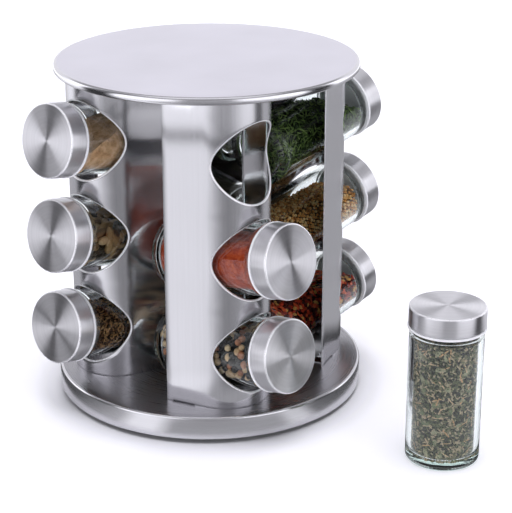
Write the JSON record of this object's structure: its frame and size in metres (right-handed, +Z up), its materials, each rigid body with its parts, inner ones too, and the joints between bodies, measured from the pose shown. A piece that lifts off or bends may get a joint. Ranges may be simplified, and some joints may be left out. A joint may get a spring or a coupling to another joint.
{
  "type": "spice carousel",
  "caption": "Turning countertop spice rack: bent steel columns between a round base and lid hold slanted screw-cap glass jars.",
  "frame": {"origin": "on the carousel's axis, on the table that the rubber ring stands on", "axes": "+Z up along the carousel's axis; the front column's jars point towards -Y"},
  "size_m": [0.2036, 0.2982, 0.209],
  "materials": {
    "brushed_steel": "brushed",
    "column_steel": "brushed lengthways, glossy",
    "polished_steel": "polished",
    "black_plastic": "fine grain",
    "rubber": "matt",
    "nylon": "satin, slightly translucent",
    "glass": "clear, faintly green"
  },
  "bodies": {
    "foot": {"foot_disc": "black_plastic", "rubber_ring": "rubber", "lower_race": "polished_steel", "pivot_rivet": "polished_steel", "pivot_washer": "nylon"},
    "rack": {"base_cover": "brushed_steel", "base_core": "black_plastic", "upper_race": "polished_steel", "lid_cover": "brushed_steel", "lid_plate": "brushed_steel", "column_front": "column_steel", "column_right": "column_steel", "column_back": "column_steel", "column_left": "column_steel"},
    "cage": {"ball_cage": "nylon", "bearing_balls": "polished_steel"},
    "jar_front_low": {"glass_front_low": "glass"},
    "liner_front_low": {"cap_liner_front_low": "nylon"},
    "cap_front_low": {"cap_shell_front_low": "brushed_steel"},
    "jar_front_mid": {"glass_front_mid": "glass"},
    "liner_front_mid": {"cap_liner_front_mid": "nylon"},
    "cap_front_mid": {"cap_shell_front_mid": "brushed_steel"},
    "jar_front_top": {"glass_front_top": "glass"},
    "liner_front_top": {"cap_liner_front_top": "nylon"},
    "cap_front_top": {"cap_shell_front_top": "brushed_steel"},
    "jar_right_low": {"glass_right_low": "glass"},
    "liner_right_low": {"cap_liner_right_low": "nylon"},
    "cap_right_low": {"cap_shell_right_low": "brushed_steel"},
    "jar_right_mid": {"glass_right_mid": "glass"},
    "liner_right_mid": {"cap_liner_right_mid": "nylon"},
    "cap_right_mid": {"cap_shell_right_mid": "brushed_steel"},
    "jar_right_top": {"glass_right_top": "glass"},
    "liner_right_top": {"cap_liner_right_top": "nylon"},
    "cap_right_top": {"cap_shell_right_top": "brushed_steel"},
    "jar_back_low": {"glass_back_low": "glass"},
    "liner_back_low": {"cap_liner_back_low": "nylon"},
    "cap_back_low": {"cap_shell_back_low": "brushed_steel"},
    "jar_back_mid": {"glass_back_mid": "glass"},
    "liner_back_mid": {"cap_liner_back_mid": "nylon"},
    "cap_back_mid": {"cap_shell_back_mid": "brushed_steel"},
    "jar_back_top": {"glass_back_top": "glass"},
    "liner_back_top": {"cap_liner_back_top": "nylon"},
    "cap_back_top": {"cap_shell_back_top": "brushed_steel"},
    "jar_left_low": {"glass_left_low": "glass"},
    "liner_left_low": {"cap_liner_left_low": "nylon"},
    "cap_left_low": {"cap_shell_left_low": "brushed_steel"},
    "jar_left_mid": {"glass_left_mid": "glass"},
    "liner_left_mid": {"cap_liner_left_mid": "nylon"},
    "cap_left_mid": {"cap_shell_left_mid": "brushed_steel"},
    "jar_left_top": {"glass_left_top": "glass"},
    "liner_left_top": {"cap_liner_left_top": "nylon"},
    "cap_left_top": {"cap_shell_left_top": "brushed_steel"}
  },
  "joints": [
    {"name": "carousel_spin", "type": "hinge", "parent": "foot", "child": "rack", "pos_m": [0, 0, 0.0083], "axis": [0, 0, 1], "continuous": true},
    {"name": "cage_orbit", "type": "hinge", "parent": "foot", "child": "cage", "pos_m": [0, 0, 0.0083], "axis": [0, 0, 1], "continuous": true},
    {"name": "jar_front_low_pull", "type": "slide", "parent": "rack", "child": "jar_front_low", "axis": [0, -0.9833, 0.1822], "range_m": [0, 0.1]},
    {"name": "cap_front_low_rise", "type": "slide", "parent": "jar_front_low", "child": "liner_front_low", "axis": [0, -0.9833, 0.1822], "range_m": [0, 0.0045]},
    {"name": "cap_front_low_turn", "type": "hinge", "parent": "liner_front_low", "child": "cap_front_low", "pos_m": [-0.0345, -0.098, 0.055], "axis": [0, -0.9833, 0.1822], "range_deg": [0, 540]},
    {"name": "jar_front_mid_pull", "type": "slide", "parent": "rack", "child": "jar_front_mid", "axis": [0, -0.9833, 0.1822], "range_m": [0, 0.1]},
    {"name": "cap_front_mid_rise", "type": "slide", "parent": "jar_front_mid", "child": "liner_front_mid", "axis": [0, -0.9833, 0.1822], "range_m": [0, 0.0045]},
    {"name": "cap_front_mid_turn", "type": "hinge", "parent": "liner_front_mid", "child": "cap_front_mid", "pos_m": [-0.0345, -0.098, 0.1135], "axis": [0, -0.9833, 0.1822], "range_deg": [0, 540]},
    {"name": "jar_front_top_lift", "type": "slide", "parent": "foot", "child": "jar_front_top", "axis": [0, 0, 1], "range_m": [0, 0.15]},
    {"name": "cap_front_top_rise", "type": "slide", "parent": "jar_front_top", "child": "liner_front_top", "axis": [0, 0, 1], "range_m": [0, 0.0045]},
    {"name": "cap_front_top_turn", "type": "hinge", "parent": "liner_front_top", "child": "cap_front_top", "pos_m": [0.012, -0.174, 0.0942], "axis": [0, 0, 1], "range_deg": [0, 540]},
    {"name": "jar_right_low_pull", "type": "slide", "parent": "rack", "child": "jar_right_low", "axis": [0.9833, 0, 0.1822], "range_m": [0, 0.1]},
    {"name": "cap_right_low_rise", "type": "slide", "parent": "jar_right_low", "child": "liner_right_low", "axis": [0.9833, 0, 0.1822], "range_m": [0, 0.0045]},
    {"name": "cap_right_low_turn", "type": "hinge", "parent": "liner_right_low", "child": "cap_right_low", "pos_m": [0.098, -0.0345, 0.055], "axis": [0.9833, 0, 0.1822], "range_deg": [0, 540]},
    {"name": "jar_right_mid_pull", "type": "slide", "parent": "rack", "child": "jar_right_mid", "axis": [0.9833, 0, 0.1822], "range_m": [0, 0.1]},
    {"name": "cap_right_mid_rise", "type": "slide", "parent": "jar_right_mid", "child": "liner_right_mid", "axis": [0.9833, 0, 0.1822], "range_m": [0, 0.0045]},
    {"name": "cap_right_mid_turn", "type": "hinge", "parent": "liner_right_mid", "child": "cap_right_mid", "pos_m": [0.098, -0.0345, 0.1135], "axis": [0.9833, 0, 0.1822], "range_deg": [0, 540]},
    {"name": "jar_right_top_pull", "type": "slide", "parent": "rack", "child": "jar_right_top", "axis": [0.9833, 0, 0.1822], "range_m": [0, 0.1]},
    {"name": "cap_right_top_rise", "type": "slide", "parent": "jar_right_top", "child": "liner_right_top", "axis": [0.9833, 0, 0.1822], "range_m": [0, 0.0045]},
    {"name": "cap_right_top_turn", "type": "hinge", "parent": "liner_right_top", "child": "cap_right_top", "pos_m": [0.098, -0.0345, 0.172], "axis": [0.9833, 0, 0.1822], "range_deg": [0, 540]},
    {"name": "jar_back_low_pull", "type": "slide", "parent": "rack", "child": "jar_back_low", "axis": [0, 0.9833, 0.1822], "range_m": [0, 0.1]},
    {"name": "cap_back_low_rise", "type": "slide", "parent": "jar_back_low", "child": "liner_back_low", "axis": [0, 0.9833, 0.1822], "range_m": [0, 0.0045]},
    {"name": "cap_back_low_turn", "type": "hinge", "parent": "liner_back_low", "child": "cap_back_low", "pos_m": [0.0345, 0.098, 0.055], "axis": [0, 0.9833, 0.1822], "range_deg": [0, 540]},
    {"name": "jar_back_mid_pull", "type": "slide", "parent": "rack", "child": "jar_back_mid", "axis": [0, 0.9833, 0.1822], "range_m": [0, 0.1]},
    {"name": "cap_back_mid_rise", "type": "slide", "parent": "jar_back_mid", "child": "liner_back_mid", "axis": [0, 0.9833, 0.1822], "range_m": [0, 0.0045]},
    {"name": "cap_back_mid_turn", "type": "hinge", "parent": "liner_back_mid", "child": "cap_back_mid", "pos_m": [0.0345, 0.098, 0.1135], "axis": [0, 0.9833, 0.1822], "range_deg": [0, 540]},
    {"name": "jar_back_top_pull", "type": "slide", "parent": "rack", "child": "jar_back_top", "axis": [0, 0.9833, 0.1822], "range_m": [0, 0.1]},
    {"name": "cap_back_top_rise", "type": "slide", "parent": "jar_back_top", "child": "liner_back_top", "axis": [0, 0.9833, 0.1822], "range_m": [0, 0.0045]},
    {"name": "cap_back_top_turn", "type": "hinge", "parent": "liner_back_top", "child": "cap_back_top", "pos_m": [0.0345, 0.098, 0.172], "axis": [0, 0.9833, 0.1822], "range_deg": [0, 540]},
    {"name": "jar_left_low_pull", "type": "slide", "parent": "rack", "child": "jar_left_low", "axis": [-0.9833, 0, 0.1822], "range_m": [0, 0.1]},
    {"name": "cap_left_low_rise", "type": "slide", "parent": "jar_left_low", "child": "liner_left_low", "axis": [-0.9833, 0, 0.1822], "range_m": [0, 0.0045]},
    {"name": "cap_left_low_turn", "type": "hinge", "parent": "liner_left_low", "child": "cap_left_low", "pos_m": [-0.098, 0.0345, 0.055], "axis": [-0.9833, 0, 0.1822], "range_deg": [0, 540]},
    {"name": "jar_left_mid_pull", "type": "slide", "parent": "rack", "child": "jar_left_mid", "axis": [-0.9833, 0, 0.1822], "range_m": [0, 0.1]},
    {"name": "cap_left_mid_rise", "type": "slide", "parent": "jar_left_mid", "child": "liner_left_mid", "axis": [-0.9833, 0, 0.1822], "range_m": [0, 0.0045]},
    {"name": "cap_left_mid_turn", "type": "hinge", "parent": "liner_left_mid", "child": "cap_left_mid", "pos_m": [-0.098, 0.0345, 0.1135], "axis": [-0.9833, 0, 0.1822], "range_deg": [0, 540]},
    {"name": "jar_left_top_pull", "type": "slide", "parent": "rack", "child": "jar_left_top", "axis": [-0.9833, 0, 0.1822], "range_m": [0, 0.1]},
    {"name": "cap_left_top_rise", "type": "slide", "parent": "jar_left_top", "child": "liner_left_top", "axis": [-0.9833, 0, 0.1822], "range_m": [0, 0.0045]},
    {"name": "cap_left_top_turn", "type": "hinge", "parent": "liner_left_top", "child": "cap_left_top", "pos_m": [-0.098, 0.0345, 0.172], "axis": [-0.9833, 0, 0.1822], "range_deg": [0, 540]}
  ],
  "couplings": [
    {"joint": "cage_orbit", "follows": "carousel_spin", "ratio": 0.5},
    {"joint": "cap_front_low_turn", "follows": "cap_front_low_rise", "rad_per_m": 2094.4},
    {"joint": "cap_front_mid_turn", "follows": "cap_front_mid_rise", "rad_per_m": 2094.4},
    {"joint": "cap_front_top_turn", "follows": "cap_front_top_rise", "rad_per_m": 2094.4},
    {"joint": "cap_right_low_turn", "follows": "cap_right_low_rise", "rad_per_m": 2094.4},
    {"joint": "cap_right_mid_turn", "follows": "cap_right_mid_rise", "rad_per_m": 2094.4},
    {"joint": "cap_right_top_turn", "follows": "cap_right_top_rise", "rad_per_m": 2094.4},
    {"joint": "cap_back_low_turn", "follows": "cap_back_low_rise", "rad_per_m": 2094.4},
    {"joint": "cap_back_mid_turn", "follows": "cap_back_mid_rise", "rad_per_m": 2094.4},
    {"joint": "cap_back_top_turn", "follows": "cap_back_top_rise", "rad_per_m": 2094.4},
    {"joint": "cap_left_low_turn", "follows": "cap_left_low_rise", "rad_per_m": 2094.4},
    {"joint": "cap_left_mid_turn", "follows": "cap_left_mid_rise", "rad_per_m": 2094.4},
    {"joint": "cap_left_top_turn", "follows": "cap_left_top_rise", "rad_per_m": 2094.4}
  ]
}
